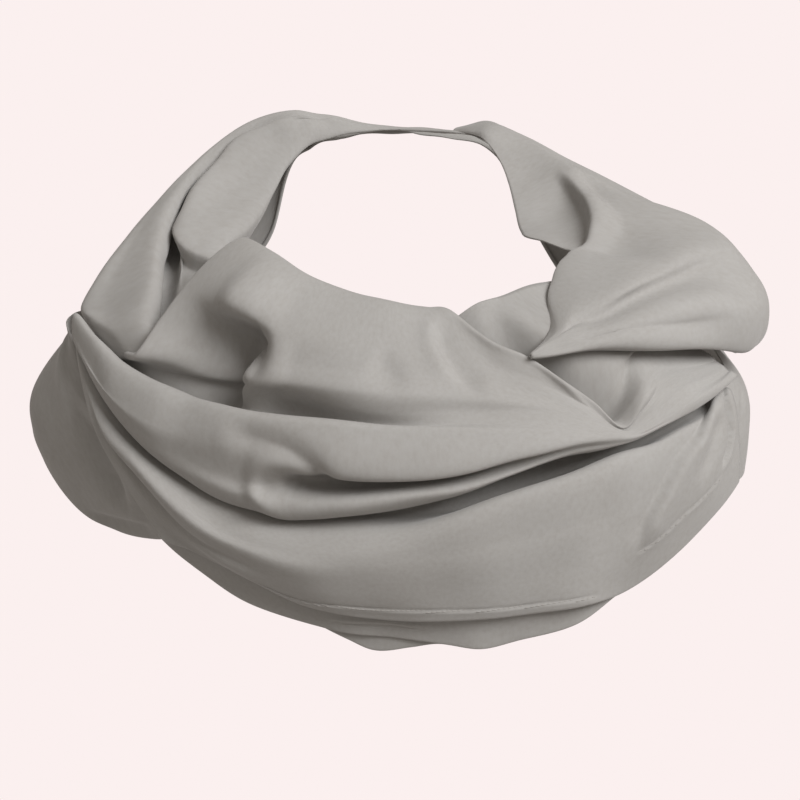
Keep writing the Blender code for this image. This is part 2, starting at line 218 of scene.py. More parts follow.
def linkedObject(name, data):
    made = bpy.data.objects.new(name, data)
    bpy.context.collection.objects.link(made)
    return made


def clothMesh(name, points, flat, thick):
    # a grid of faces laid on the points, with the cloth's own flat sizes as its UV in metres
    along, across = points.shape[0], points.shape[1]
    bm = bmesh.new()
    bmesh.ops.create_grid(bm, x_segments=along - 1, y_segments=across - 1, size=1.0)
    mesh = bpy.data.meshes.new(name)
    bm.to_mesh(mesh)
    bm.free()
    order = points.transpose(1, 0, 2).reshape(-1, 3) * mm
    mesh.vertices.foreach_set("co", order.ravel())
    corner = np.empty(len(mesh.loops), dtype=int)
    mesh.loops.foreach_get("vertex_index", corner)
    metres = flat.transpose(1, 0, 2).reshape(-1, 2) * mm
    layer = mesh.uv_layers.new(name="cloth")
    layer.data.foreach_set("uv", metres[corner].ravel())
    mesh.update()
    mesh.shade_smooth()
    piece = linkedObject(name, mesh)
    wall = piece.modifiers.new("wall", "SOLIDIFY")
    wall.thickness = thick * mm
    wall.offset = 0.0
    return piece


def clothPiece(name, sheet, material):
    points, normal, flat = sheetPoints(sheet)[:3]
    for side, radius, depth in sheet["turned"]:
        points, normal, flat = turnUnder(points, normal, flat, side, radius, depth)
    piece = clothMesh(name, points, flat, sheet["thick"])
    piece.data.materials.append(material)
    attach(piece, "root")
    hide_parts(*sheet["stands"])
    print(name, "is", round(meanLength(points, 1)), "mm across and", round(meanLength(points, 0)), "mm along")


class Sock:
    # a socket that takes part in written expressions

    def __init__(self, tree, socket):
        self.tree = tree
        self.socket = socket

    def node(self, kind, settings=None, **values):
        # adds a node: a value is named by its input, or i and the input's number
        made = self.tree.nodes.new(kind)
        for key, value in (settings or {}).items():
            setattr(made, key, value)
        for key, value in values.items():
            target = made.inputs[int(key[1:])] if key[0] == "i" and key[1:].isdigit() else made.inputs[key]
            if isinstance(value, Sock):
                self.tree.links.new(value.socket, target)
            else:
                target.default_value = value
        return made

    def math(self, operation, other=0.0):
        made = self.node("ShaderNodeMath", {"operation": operation}, i0=self, i1=other)
        return Sock(self.tree, made.outputs[0])

    def __add__(self, other):
        return self.math("ADD", other)

    def __radd__(self, other):
        return self.math("ADD", other)

    def __sub__(self, other):
        return self.math("SUBTRACT", other)

    def __rsub__(self, other):
        return (self * -1.0).math("ADD", other)

    def __mul__(self, other):
        return self.math("MULTIPLY", other)

    def __rmul__(self, other):
        return self.math("MULTIPLY", other)


clothLook = {
    "base": (0.385, 0.373, 0.360),    # warm grey of the light parts
    "deep": (0.345, 0.329, 0.312),    # the yarn's darker, warmer mottle
    "pale": (0.420, 0.412, 0.403),
    "deepAt": 0.22, "paleAt": 0.8,    # places of those two on the tone's scale
    "cloud": (26.0, 3.0, 0.5),        # scale, detail and roughness of each mottle's noise
    "heather": (420.0, 4.0, 0.65),
    "slub": (900.0, 2.0, 0.5),
    "cloudShare": 0.35, "heatherShare": 0.75,
    "weaveRise": 0.6, "slubRise": 0.7, "heatherRise": 0.5,
    "threadPitch": 0.00042,           # metres from one thread of the weave to the next but one
    "roughness": 0.88, "specular": 0.25,
    "sheen": 0.22, "sheenRoughness": 0.45,
    "reliefStrength": 0.22, "reliefDepth": 0.00025,
}


def clothMaterial(name, look):
    material = bpy.data.materials.new(name)
    material.use_nodes = True
    tree = material.node_tree
    shader = tree.nodes["Principled BSDF"]
    start = Sock(tree, None)
    flat = Sock(tree, start.node("ShaderNodeUVMap", {"uv_map": "cloth"}).outputs["UV"])
    place = Sock(tree, start.node("ShaderNodeTexCoord").outputs["Object"])

    def noise(where, scale, detail, roughness):
        values = {"Vector": where, "Scale": scale, "Detail": detail, "Roughness": roughness}
        return Sock(tree, start.node("ShaderNodeTexNoise", **values).outputs["Fac"])

    parts = start.node("ShaderNodeSeparateXYZ", i0=flat)
    along, across = Sock(tree, parts.outputs[0]), Sock(tree, parts.outputs[1])
    rate = 2 * math.pi / look["threadPitch"]
    warp = (along * rate).math("SINE")
    weft = (across * rate).math("SINE")
    weave = (warp * weft) * 0.5 + 0.5
    slub = noise(flat, *look["slub"])
    cloudy = noise(place, *look["cloud"])
    heather = noise(flat, *look["heather"])
    tone = (cloudy - 0.5) * look["cloudShare"] + (heather - 0.5) * look["heatherShare"] + 0.5
    ramp = start.node("ShaderNodeValToRGB", Fac=tone)
    stops = ramp.color_ramp.elements
    stops[0].position = look["deepAt"]
    stops[0].color = (*look["deep"], 1)
    stops[1].position = look["paleAt"]
    stops[1].color = (*look["pale"], 1)
    middle = stops.new(0.5)
    middle.color = (*look["base"], 1)
    tree.links.new(ramp.outputs["Color"], shader.inputs["Base Color"])
    shader.inputs["Roughness"].default_value = look["roughness"]
    shader.inputs["Sheen Weight"].default_value = look["sheen"]
    shader.inputs["Sheen Roughness"].default_value = look["sheenRoughness"]
    shader.inputs["Specular IOR Level"].default_value = look["specular"]
    relief = weave * look["weaveRise"] + slub * look["slubRise"] + heather * look["heatherRise"]
    values = {"Strength": look["reliefStrength"], "Distance": look["reliefDepth"], "Height": relief}
    bump = start.node("ShaderNodeBump", **values)
    tree.links.new(bump.outputs["Normal"], shader.inputs["Normal"])
    print(name, "ready")
    return material


cloth = clothMaterial("taupeCotton", clothLook)

# the upper turn in front: the cowl, its pleat and the lower roll
frontCowl = {
    "flat": (0.15, 0.32),
    "lines": {
        "inner hem": ((-55, 74, -34), (-30, 75, -44), (-5, 73, -58), (10, 76, -57), (18, 81, -50),
                      (26, 83, -43), (33, 84, -41), (48, 87, -38.5), (56, 92, -40), (68, 108, -54)),
        "band": ((-55, 75.5, -30.5), (-30, 76, -40.5), (-5, 74, -53.5), (10, 77.5, -54),
                 (18, 84.5, -52.5), (24, 91, -53.5), (30, 99, -56), (34, 112, -59), (37, 121, -62.5),
                 (41, 127, -64), (45, 131, -63), (48, 133, -62), (51, 134, -61.5), (68, 139, -64)),
        "inner valley": ((-55, 77, -27), (-30, 77, -37), (-5, 75, -49), (10, 79, -51), (18, 88, -55),
                         (24, 97, -65), (30, 109, -73), (36, 121, -82), (41, 131, -88), (45, 137, -78),
                         (50, 134, -64.5), (68, 142, -67)),
        "rim": ((-55, 81, -21), (-42, 80, -24), (-32, 80, -30), (-22, 78, -35), (-4, 78, -41),
                (10, 80, -44), (17, 84, -46), (23, 103, -55), (30, 117, -63), (33, 127, -69),
                (37.5, 135.5, -78), (41.8, 144, -88), (45.5, 147, -77), (51, 142.5, -70),
                (68, 151, -71.5)),
        "face": ((-55, 112, -37), (-45, 113, -42.5), (-39.5, 114, -42.5), (-35, 111, -45),
                 (-32, 108.5, -47), (-29.5, 108, -48.5), (-24, 106.5, -50), (-15, 105, -53),
                 (-4, 106, -56), (12, 108, -59), (20, 113, -63), (30, 129, -70), (36, 139.5, -78.5),
                 (41.8, 147, -89.4), (46, 149.5, -82), (51, 148.3, -75.5), (68, 155.2, -75)),
        "dent": ((-55.3, 126, -52), (-51, 118, -53), (-46.5, 108.5, -54.5), (-42, 99, -56.5),
                 (-37.5, 94, -58.5), (-34.5, 94.5, -59.5), (-32, 102.5, -59.5), (-29, 112.5, -59.5),
                 (-22, 113.5, -60.5), (-15, 113, -61.5), (-4, 114, -63), (12, 116, -66), (20, 120, -68.5),
                 (30, 133, -74), (36, 142.5, -81), (41.8, 148, -90), (46, 150.5, -83), (51, 150.3, -77),
                 (68, 157, -76)),
        "lip": ((-55.5, 139.6, -66.8), (-51, 127, -69), (-46.5, 114, -75), (-42, 104, -77),
                (-39, 99.5, -77), (-37, 102.5, -75), (-34.7, 114.5, -71), (-31, 119.5, -70),
                (-22, 121, -69), (-4, 122, -70), (17, 125, -73), (30, 137, -77.5), (37, 145, -84),
                (42, 149.5, -90.3), (47, 151.5, -84.5), (51, 152.3, -79), (68, 158.5, -77)),
        "pleat": ((-64, 137, -72), (-58, 132, -75), (-52, 120, -77), (-46, 106, -82), (-40.5, 99.5, -84),
                  (-38.5, 103, -82), (-36, 113, -78), (-31, 117.6, -77.8), (-25, 118.5, -77.5),
                  (-20, 119.5, -77.5), (-4, 122, -78), (17, 127, -78), (30, 138.5, -79.5),
                  (37, 146, -85.5), (42, 150.3, -90.9), (47, 153, -86), (51, 154.3, -80.5),
                  (68, 159.5, -77.8)),
        "trough": ((-64, 138, -78), (-58, 131, -84), (-52, 121, -88), (-46, 112, -91), (-41, 105, -91),
                   (-39, 107, -89.5), (-36.5, 112.5, -86.5), (-31, 115.6, -85), (-27, 114.5, -85),
                   (-20, 114, -84.5), (-8, 118.5, -84), (4, 124, -83), (17, 130, -81.5), (30, 141, -82.5),
                   (37, 147.5, -86.8), (42, 151, -91.4), (47, 154.3, -88), (52, 156, -82),
                   (68, 161, -78.8)),
        "crest": ((-70, 152, -55), (-65, 150, -60), (-59, 147, -67.5), (-52, 142, -74), (-46, 139, -77),
                  (-42, 137, -79), (-36, 136.5, -79.5), (-30, 136, -80), (-12, 133, -82), (10, 134, -84),
                  (22, 140, -85), (33, 146, -86), (38, 149.5, -88.8), (43, 152, -91.8), (48, 155.7, -89),
                  (55, 160, -83), (68, 163, -79)),
        "belly": ((-69, 155, -62), (-56, 152, -81), (-42, 147, -90), (-30, 143, -93), (-20, 140, -95.5),
                  (-12, 139.8, -100.5), (0, 140.4, -102.5), (12, 141.7, -99.5), (22, 144.3, -94.5),
                  (33, 149, -90.5), (38, 150.8, -91.2), (43, 152.6, -92.5), (48, 156, -90),
                  (68, 165, -79.8)),
        "pinch": ((-68, 155, -66), (-55, 153, -83), (-42, 148, -98), (-30, 142, -107), (-20, 133, -109),
                  (-12, 128.5, -109), (1, 129, -106.5), (12, 131, -103), (21, 136, -98.5),
                  (31, 144, -93.5), (38, 149.5, -93.2), (43, 151.9, -93.3), (48, 155, -91),
                  (68, 165, -80.6)),
        "roll": ((-67, 154, -69), (-55, 153, -87), (-42, 148, -104), (-30, 144, -113), (-20, 139, -115),
                 (-8, 138, -113), (1, 139, -110), (12, 140, -107), (21, 141, -102), (31, 144, -96),
                 (38, 148.5, -95), (43, 151, -94.2), (48, 154, -91.6), (68, 164, -81.4)),
        "tuck": ((-66, 153.2, -71), (-59, 152, -84), (-48, 149, -100), (-40, 145, -110), (-33, 142, -118),
                 (-25, 139, -121), (-19, 136, -122), (-8, 134, -120), (1, 134, -117), (10, 135, -112),
                 (19, 136, -106), (31, 140, -98), (38, 145, -97), (43, 148.3, -95), (48, 151.4, -92.4),
                 (56, 156, -86.5), (68, 162, -82)),
        "hidden edge": ((-65, 147, -70), (-58, 146, -80), (-48, 142, -94), (-33, 134, -109),
                        (-19, 128, -112), (1, 126, -108), (19, 128, -99), (30, 133, -97), (43, 142, -94),
                        (56, 149, -83.5), (68, 156, -78)),
    },
    "along": 236, "across": 190, "outward": 1, "thick": 0.7,
    "waves": ((61, 12, 0.25), (37, -20, 0.15), (23, 70, 0.08)),
    "turned": (("start", 1.3, 8),),
    "stands": ("front_cowl",), "rests": ["right_swag", "upperTurn"],
    "creases": (
        # the round lip of the dent under the peak
        {"path": ((0.19, 0.38), (0.193, 0.42), (0.182, 0.455), (0.171, 0.49), (0.163, 0.53),
                  (0.160, 0.58)),
         "left": (1.6, 6), "right": (-1.6, 4), "fade": (10, 8), "jump": 1.4},
        # the soft trough under the middle and the crisp crest below it
        {"path": ((0.22, 0.64), (0.27, 0.628), (0.32, 0.615), (0.37, 0.61), (0.42, 0.62), (0.46, 0.635)),
         "left": (-4.6, 13), "right": (-4.6, 7), "fade": (22, 44)},
        {"path": ((0.02, 0.70), (0.117, 0.705), (0.181, 0.71), (0.267, 0.70), (0.354, 0.703),
                  (0.447, 0.70), (0.54, 0.71)),
         "left": (1.2, 2.5), "right": (1.2, 5), "fade": (10, 40)},
        # the valleys on the middle
        {"path": ((0.541, 0.30), (0.554, 0.345), (0.573, 0.403), (0.59, 0.465), (0.617, 0.51)),
         "left": (-2.6, 10), "right": (-2.6, 5), "fade": (10, 14)},
        {"path": ((0.531, 0.29), (0.541, 0.352), (0.549, 0.42), (0.556, 0.485)),
         "left": (1.4, 4), "right": (1.4, 7), "fade": (8, 14)},
        {"path": ((0.42, 0.40), (0.46, 0.463), (0.485, 0.53)),
         "left": (-1.8, 7), "right": (-1.8, 9), "fade": (10, 14)},
        # the shade band on the belly
        {"path": ((0.25, 0.772), (0.30, 0.772), (0.343, 0.783), (0.375, 0.803), (0.405, 0.838)),
         "left": (-3, 5), "right": (-3.5, 6), "fade": (14, 10), "jump": 2},
        # the hook: a ridge like a U lying open to the right, and the dark line that it holds
        {"path": ((0.398, 0.845), (0.37, 0.828), (0.345, 0.818), (0.318, 0.82), (0.298, 0.837),
                  (0.291, 0.862), (0.297, 0.892), (0.318, 0.912), (0.36, 0.913), (0.42, 0.907),
                  (0.486, 0.905), (0.53, 0.91)),
         "left": (3.2, 3), "right": (3.2, 3), "fade": (12, 40)},
        {"path": ((0.318, 0.853), (0.345, 0.857), (0.373, 0.856), (0.433, 0.856), (0.477, 0.850),
                  (0.513, 0.848), (0.599, 0.846), (0.674, 0.825)),
         "left": (-6.5, 3.4), "right": (-5, 2.2), "fade": (10, 34), "jump": 0.5},
        # the belly's soft swell on the left
        {"path": ((0.05, 0.79), (0.10, 0.80), (0.16, 0.81), (0.2, 0.83)),
         "left": (1.6, 8), "right": (1.6, 8), "fade": (12, 16)},
        # the rim's light edge down to the corner of the pocket
        {"path": ((0.56, 0.27), (0.633, 0.28), (0.696, 0.285), (0.73, 0.31), (0.755, 0.40)),
         "left": (0.8, 2.5), "right": (0.8, 3), "fade": (10, 8)},
    ),
}
clothPiece("frontCowl", frontCowl, cloth)

# the upper turn from the left side round the back
upperTurn = {
    "flat": (0.07, 0.27),
    "lines": {
        "inner hem": ((-50, 102, -58), (-60, 100, -56), (-76, 88, -45), (-86, 76, -39), (-97, 69, -33),
                      (-109, 64, -20), (-122, 64, -8), (-136, 61, 2), (-148, 61, 4), (-160, 61, 5.4),
                      (-180, 61, 5.6), (-218, 61, 5.6)),
        "neck edge": ((-50, 100, -50), (-60, 95, -46), (-76, 81, -33), (-86, 70, -28), (-97, 63, -21),
                      (-109, 60, -13), (-121, 60, -4), (-134, 58, 3), (-146, 58, 4.6), (-158, 58.5, 6),
                      (-180, 59.4, 6.2), (-218, 59.5, 6.2)),
        "band crown": ((-50, 106, -52), (-60, 104, -46), (-76, 94, -31), (-86, 88, -22), (-97, 82, -14),
                       (-109, 75, -6), (-123, 70, 5), (-136, 60, 12), (-148, 59.5, 9.5), (-160, 59.5, 8),
                       (-180, 60.2, 6.8), (-218, 60.2, 6.8)),
        "band fold": ((-50, 116, -58), (-60, 112, -51), (-67, 109, -44), (-75, 107, -36), (-82, 103, -28),
                      (-90, 98, -19), (-101, 92, -8), (-109, 88, -1), (-117, 84, 6), (-123, 76, 11),
                      (-136, 64, 17), (-148, 62, 13.5), (-160, 61.5, 10), (-180, 62, 7), (-218, 62, 7)),
        "fold valley": ((-51, 119, -62), (-60, 118, -57), (-67, 113, -51), (-75, 108, -45),
                        (-82, 102.5, -38), (-90, 96.5, -29), (-100, 90.5, -18), (-112, 87.5, -3),
                        (-123, 79, 8), (-136, 67, 15.8), (-148, 64.5, 12.3), (-160, 63.6, 8.8),
                        (-180, 64, 6.2), (-218, 64, 6.2)),
        "outer fold": ((-54, 128, -61), (-60, 130, -55), (-66, 122, -44), (-71, 117, -38),
                       (-77, 113, -32), (-87, 106, -21), (-100, 98, -10), (-112, 93, 1), (-123, 82, 12),
                       (-136, 69.8, 17.5), (-148, 67.2, 14), (-160, 66, 10.3), (-180, 66, 6.2),
                       (-218, 66, 6.2)),
        "outer crown": ((-58, 136, -70), (-63, 139, -60), (-69, 140, -53), (-74, 135, -44),
                        (-80, 125, -33), (-87, 115, -22), (-100, 102.5, -8.5), (-112, 95.5, 1.5),
                        (-123, 84.5, 12), (-136, 72.3, 16.5), (-148, 69.7, 13), (-160, 68.5, 9.3),
                        (-180, 68.4, 5.4), (-218, 68.2, 5.4)),
        "outline": ((-61, 138.5, -71), (-65, 141.5, -62), (-69, 146, -57), (-73, 148, -53),
                    (-77, 140, -43), (-85, 124, -28), (-93, 113, -18), (-102, 104, -8),
                    (-113, 97.5, -0.5), (-123, 87, 9), (-136, 74.3, 13), (-148, 71.8, 9.8),
                    (-160, 70.6, 6.6), (-180, 70.4, 4.8), (-218, 70.2, 4.8)),
        "outer face": ((-65, 140.5, -70), (-69, 145, -62.5), (-75, 146, -60), (-85, 129, -42),
                       (-100, 109, -22), (-113, 99.5, -8), (-136, 76.5, 6), (-148, 73.4, 4),
                       (-160, 72, 4.0), (-180, 71.6, 4.3), (-218, 71.5, 4.3)),
        "outer hem": ((-69, 141, -69), (-73, 142.5, -66.5), (-78, 140, -68), (-87, 127, -54),
                      (-100, 110, -36), (-113, 100, -20), (-136, 76.5, -2), (-148, 73.5, -1.2),
                      (-160, 72, 2.4), (-180, 71.8, 3.8), (-218, 71.5, 3.8)),
    },
    "along": 300, "across": 130, "outward": -1, "thick": 0.7,
    "waves": ((52, 15, 0.3), (31, -25, 0.15), (19, 60, 0.08)),
    "turned": (),
    "stands": ("left_strap", "nape_band"), "rests": ["frontCowl", "rightSwag"],
    "creases": (
        # the upper band's crisp lower edge, over the pocket
        {"path": ((0.09, 0.12), (0.113, 0.20), (0.134, 0.292), (0.158, 0.35), (0.183, 0.392),
                  (0.21, 0.425), (0.25, 0.43), (0.34, 0.42)),
         "left": (-6, 7), "right": (1.6, 6), "fade": (6, 30), "jump": 0.7},
        {"path": ((0.05, 0.36), (0.09, 0.36), (0.135, 0.42), (0.17, 0.46)),
         "left": (-3.5, 5), "right": (-3.5, 5), "fade": (8, 10)},
        # the crevice and the fold beside it
        {"path": ((0.02, 0.50), (0.077, 0.52), (0.12, 0.525), (0.167, 0.53), (0.204, 0.545),
                  (0.267, 0.568), (0.31, 0.56)),
         "left": (1.8, 6), "right": (-5, 3.6), "fade": (14, 18), "jump": 0.7},
        {"path": ((0.10, 0.50), (0.14, 0.47), (0.17, 0.47), (0.20, 0.50)),
         "left": (1.4, 3), "right": (1.4, 3), "fade": (8, 8)},
        {"path": ((0.18, 0.24), (0.24, 0.27), (0.30, 0.28), (0.38, 0.29)),
         "left": (-1.2, 6), "right": (-1.2, 8), "fade": (16, 20)},
        {"path": ((0.02, 0.74), (0.10, 0.70), (0.20, 0.70), (0.30, 0.66)),
         "left": (-1.2, 5), "right": (-1.2, 7), "fade": (20, 24)},
        # the soft shade where the band comes over the shoulder
        {"path": ((0.45, 0.27), (0.49, 0.33), (0.54, 0.38), (0.59, 0.42)),
         "left": (-2.2, 6), "right": (-2.2, 5), "fade": (12, 12)},
        {"path": ((0.22, 0.38), (0.30, 0.33), (0.37, 0.34), (0.43, 0.40)),
         "left": (1.3, 5), "right": (1.3, 5), "fade": (12, 12)},
    ),
}
clothPiece("upperTurn", upperTurn, cloth)

# the swag on the right
rightSwag = {
    "flat": (0.1, 0.28),
    "lines": {
        "neck edge": ((28.5, 121.2, -57.9), (37, 110, -55), (43, 101.8, -47.1), (51, 94.2, -40.3),
                      (65, 90, -35.5), (73, 83, -33), (79, 70, -31), (84, 62, -31), (92, 58, -29),
                      (102, 57, -21), (112, 57.5, -12), (121, 58, -3), (132, 57, 5.5), (142, 59, 6.8),
                      (153, 60.5, 6.6)),
        "hollow": ((28.5, 121.2, -57.5), (37, 111, -52), (43, 99, -44.5), (51, 91.5, -38.5),
                   (65, 87, -34.5), (75, 81, -31), (84, 74, -29), (92, 72, -24), (102, 70, -16),
                   (112, 68, -8), (134, 59, 8), (142, 59.5, 8), (153, 61.2, 7)),
        "hook fold": ((28.5, 121.3, -57.2), (37, 115, -50), (43, 99, -42), (51, 91, -36), (65, 86, -30),
                      (75, 87, -27), (83, 88, -23), (91, 87, -16), (99, 85, -10), (112, 79, -2),
                      (127, 69, 7), (136, 63, 10), (142, 62, 9.8), (153, 62.2, 7.4)),
        "face": ((28.5, 121.5, -57), (37, 119, -49), (43, 110, -42), (51, 108, -36), (60, 109, -32),
                 (75, 112, -25), (91, 102, -13), (104, 91, -6), (120, 79, 3), (134, 68, 10.5),
                 (142, 65.5, 11), (153, 65, 7.2)),
        "crown": ((28.5, 121.7, -56.9), (37, 121, -48.6), (45, 121, -42), (54, 126, -36), (62, 130, -33),
                  (71, 139, -29), (82, 149, -27), (88, 140, -22), (95, 120, -17), (104, 101, -9),
                  (118, 85, 0.5), (132, 75, 7), (140, 70.5, 11.2), (153, 66.8, 6.8)),
        "crease": ((28.5, 121.9, -57), (37, 123.5, -50.4), (45, 126, -46), (54, 129, -40), (62, 135, -38),
                   (71, 146, -37), (80, 160, -37), (90, 152, -32), (100, 130, -24), (118, 98, -8),
                   (132, 82.5, 1.5), (140, 75, 7.5), (153, 68.8, 6.2)),
        "roll": ((28.5, 122, -57.4), (35, 125.5, -54.5), (42, 133, -50), (49, 141, -48), (58, 153, -48),
                 (69, 165, -51), (76, 171, -56), (84, 171, -58), (95, 157, -50), (110, 128, -34),
                 (125, 102, -14), (136, 85, 1.5), (144, 76, 4.6), (153, 70.2, 5.4)),
        "tuck": ((28.5, 121.9, -57.9), (42, 133, -57), (56, 150, -61), (66, 161, -67), (72, 166, -72),
                 (78, 167.5, -75), (84, 168, -77.5), (95, 160, -72), (110, 133, -50), (125, 105, -26),
                 (134, 91.5, -10), (140, 82, -1.5), (146, 76, 2.4), (153, 71.2, 4.8)),
        "hidden hem": ((28.5, 121.6, -58.1), (42, 127, -59), (56, 144, -62), (70, 159.5, -70.5),
                       (78, 160, -78), (84, 160, -81), (95, 154, -78), (110, 132, -60), (125, 104, -34),
                       (134, 90, -15), (140, 82, -5), (146, 76, 0.5), (153, 71.4, 4.3)),
    },
    "along": 250, "across": 150, "outward": 1, "thick": 0.7,
    "waves": ((57, 10, 0.3), (33, -30, 0.15), (21, 65, 0.08)),
    "turned": (),
    "stands": ("right_swag",), "rests": ["frontCowl", "upperTurn"],
    "creases": (
        # the hollow beside the neck edge and the ridge round it
        {"path": ((0.25, 0.15), (0.33, 0.175), (0.41, 0.172), (0.47, 0.163), (0.54, 0.147), (0.64, 0.13)),
         "left": (-5, 8), "right": (1.4, 5), "fade": (14, 24), "jump": 1.6},
        {"path": ((0.28, 0.25), (0.331, 0.25), (0.397, 0.26), (0.456, 0.283), (0.54, 0.25), (0.62, 0.22)),
         "left": (-4.5, 5), "right": (-4.5, 9), "fade": (16, 24)},
        {"path": ((0.36, 0.20), (0.42, 0.205), (0.48, 0.20), (0.56, 0.175)),
         "left": (1.8, 4), "right": (1.8, 4), "fade": (14, 20)},
        # the long valley that becomes the roll's top
        {"path": ((0.02, 0.46), (0.069, 0.46), (0.132, 0.57), (0.196, 0.615), (0.25, 0.605),
                  (0.30, 0.585), (0.36, 0.55), (0.437, 0.50)),
         "left": (-3.6, 10), "right": (-1.0, 7), "fade": (10, 26), "jump": 5},
        {"path": ((0.08, 0.68), (0.15, 0.72), (0.22, 0.72), (0.30, 0.69), (0.38, 0.64)),
         "left": (2.4, 6), "right": (2.4, 6), "fade": (16, 24)},
        # the soft folds of the roll's foot
        {"path": ((0.06, 0.72), (0.12, 0.74), (0.191, 0.765), (0.251, 0.795), (0.331, 0.80)),
         "left": (-4.5, 8), "right": (-4.5, 7), "fade": (20, 24)},
        {"path": ((0.34, 0.62), (0.417, 0.703), (0.42, 0.818), (0.39, 0.90)),
         "left": (1.2, 5), "right": (1.2, 7), "fade": (14, 8)},
        {"path": ((0.50, 0.55), (0.56, 0.45), (0.64, 0.36), (0.72, 0.30)),
         "left": (-1.6, 8), "right": (-1.6, 10), "fade": (20, 20)},
        {"path": ((0.52, 0.80), (0.60, 0.70), (0.70, 0.62), (0.82, 0.56)),
         "left": (-2.2, 9), "right": (-2.2, 9), "fade": (24, 24)},
    ),
}
clothPiece("rightSwag", rightSwag, cloth)

# the lower turn in front: the wide panel with its stitched hem
frontPanel = {
    "flat": (0.095, 0.36),
    "lines": {
        "hidden top": ((-71, 147, -67), (-64, 144, -78), (-55, 138, -90), (-40, 128, -102),
                       (-25, 121, -110), (-8, 115, -108), (7, 110, -104), (25, 105, -98), (36, 110, -93),
                       (45, 120, -88), (67, 149, -79)),
        "neck": ((-71, 150, -66), (-64, 150, -77.5), (-56, 147, -92), (-40, 139, -113), (-25, 132, -122),
                 (-8, 124, -122), (7, 120, -125), (19, 118, -124), (28, 120, -121), (36, 126, -115),
                 (45, 136, -107), (56, 149, -96.5), (67, 157, -87)),
        "crest": ((-70, 153.2, -69), (-63, 154.6, -82), (-56, 156, -96), (-48, 153, -106),
                  (-40, 150, -117), (-33, 147, -126), (-25, 144, -129), (-8, 140, -128), (7, 140, -121),
                  (19, 141.5, -111.5), (31, 146, -104.5), (45, 153.5, -97), (56, 160, -93),
                  (67, 163, -88)),
        "middle": ((-58, 157, -98), (-47, 154, -114), (-40, 152, -126), (-25, 149, -137), (-8, 146, -139),
                   (7, 145, -136), (25, 149, -130), (45, 160, -121), (56, 166, -111), (67, 167, -101)),
        "low": ((-50, 155, -118), (-40, 151, -133), (-25, 148, -146), (-8, 144, -152), (7, 143, -152),
                (25, 149, -149), (45, 159, -141), (56, 166, -129), (67, 168.5, -115)),
        "hem": ((-42, 151, -140), (-39, 149, -141), (-32, 146, -146), (-25, 144, -152), (-18, 141, -160),
                (-11, 140, -163), (-2, 139, -166), (9, 141, -166), (22, 146, -165), (33, 153, -163),
                (43, 154, -161), (52, 161, -149), (60, 166, -137), (67, 169, -129)),
    },
    "along": 260, "across": 110, "outward": 1, "thick": 0.7,
    "waves": ((66, 12, 0.3), (41, -18, 0.15), (24, 75, 0.08)),
    "turned": (("start", 0.9, 6), ("outer", 1.0, 6)),
    "stands": ("front_panel",), "rests": ["frontCowl", "lowerTurn"],
    "creases": (
        # the fan of folds on the right
        {"path": ((0.998, 0.22), (0.965, 0.31), (0.935, 0.40), (0.909, 0.475), (0.872, 0.53),
                  (0.845, 0.60), (0.82, 0.69), (0.80, 0.82)),
         "left": (2.8, 10), "right": (-1.8, 9), "fade": (8, 12), "jump": 2.4},
        {"path": ((0.96, 0.42), (0.93, 0.56), (0.895, 0.70)),
         "left": (-2.4, 4), "right": (-2.4, 6), "fade": (12, 12)},
        {"path": ((0.998, 0.30), (0.985, 0.41), (0.982, 0.54), (0.977, 0.645), (0.965, 0.71),
                  (0.945, 0.75)),
         "left": (1.2, 4), "right": (-2.8, 3.4), "fade": (8, 6), "jump": 1.1},
        # the hem's stitched groove, below in the middle and up the right side
        {"path": ((0.20, 0.965), (0.292, 0.965), (0.365, 0.937), (0.462, 0.937), (0.542, 0.946),
                  (0.608, 0.955), (0.692, 0.965), (0.75, 0.975)),
         "left": (-0.5, 1.0), "right": (0.5, 3), "fade": (20, 6), "jump": 0.5},
        {"path": ((0.80, 0.835), (0.812, 0.827), (0.873, 0.79), (0.931, 0.773), (0.95, 0.76)),
         "left": (-0.5, 1.0), "right": (0.5, 3), "fade": (4, 6), "jump": 0.5},
        # the soft hollow that leads up to the fan
        {"path": ((0.88, 0.25), (0.83, 0.40), (0.77, 0.60), (0.73, 0.80)),
         "left": (-1.6, 12), "right": (-1.6, 8), "fade": (16, 20)},
        # long shallow folds of the left
        {"path": ((0.06, 0.30), (0.12, 0.40), (0.20, 0.52), (0.30, 0.62), (0.42, 0.68)),
         "left": (2.0, 7), "right": (2.0, 10), "fade": (20, 50)},
        {"path": ((0.05, 0.60), (0.12, 0.68), (0.20, 0.74), (0.30, 0.80)),
         "left": (-1.4, 6), "right": (-1.4, 7), "fade": (12, 30)},
        {"path": ((0.30, 0.40), (0.40, 0.44), (0.52, 0.44), (0.62, 0.40)),
         "left": (-0.8, 9), "right": (-0.8, 9), "fade": (40, 40)},
    ),
}
clothPiece("frontPanel", frontPanel, cloth)

# the thread of the panel's hem, in mm: above is the height of a stitch's middle over the cloth
hemStitches = {
    "paths": (((0.27, 0.965), (0.292, 0.965), (0.365, 0.937), (0.462, 0.937),
               (0.542, 0.946), (0.608, 0.955), (0.692, 0.965), (0.745, 0.975)),
              ((0.806, 0.831), (0.812, 0.827), (0.873, 0.79), (0.931, 0.773), (0.945, 0.764))),
    "pitch": 2.7, "length": 2.0, "width": 0.42, "above": 0.42,
}


